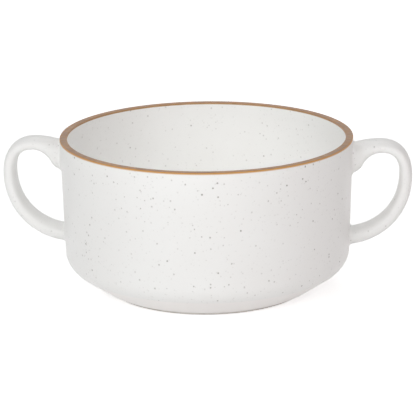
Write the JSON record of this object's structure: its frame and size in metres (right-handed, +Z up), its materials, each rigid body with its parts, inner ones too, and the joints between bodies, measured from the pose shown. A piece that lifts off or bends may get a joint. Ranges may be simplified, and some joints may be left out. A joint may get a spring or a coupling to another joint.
{
  "type": "two-handled soup bowl",
  "caption": "Straight-sided stoneware soup bowl with a rounded heel, low foot ring, brown lip and an open loop handle luted to each side.",
  "frame": {"origin": "centre of the foot ring's resting plane", "axes": "+Z up through the bowl's mouth, +X through the right handle, -Y towards the front"},
  "size_m": [0.1866, 0.133, 0.0704],
  "materials": {
    "speckled_glaze": "satin off-white stoneware glaze with fine brown speckles",
    "brown_rim": "satin brown glaze, warmer where it thins over the outer edge"
  },
  "bodies": {
    "root": {"bowl_body": "speckled_glaze", "rim_band": "brown_rim", "left_handle": "speckled_glaze", "right_handle": "speckled_glaze", "left_upper_seam": "speckled_glaze", "left_lower_seam": "speckled_glaze", "right_upper_seam": "speckled_glaze", "right_lower_seam": "speckled_glaze"}
  },
  "joints": []
}
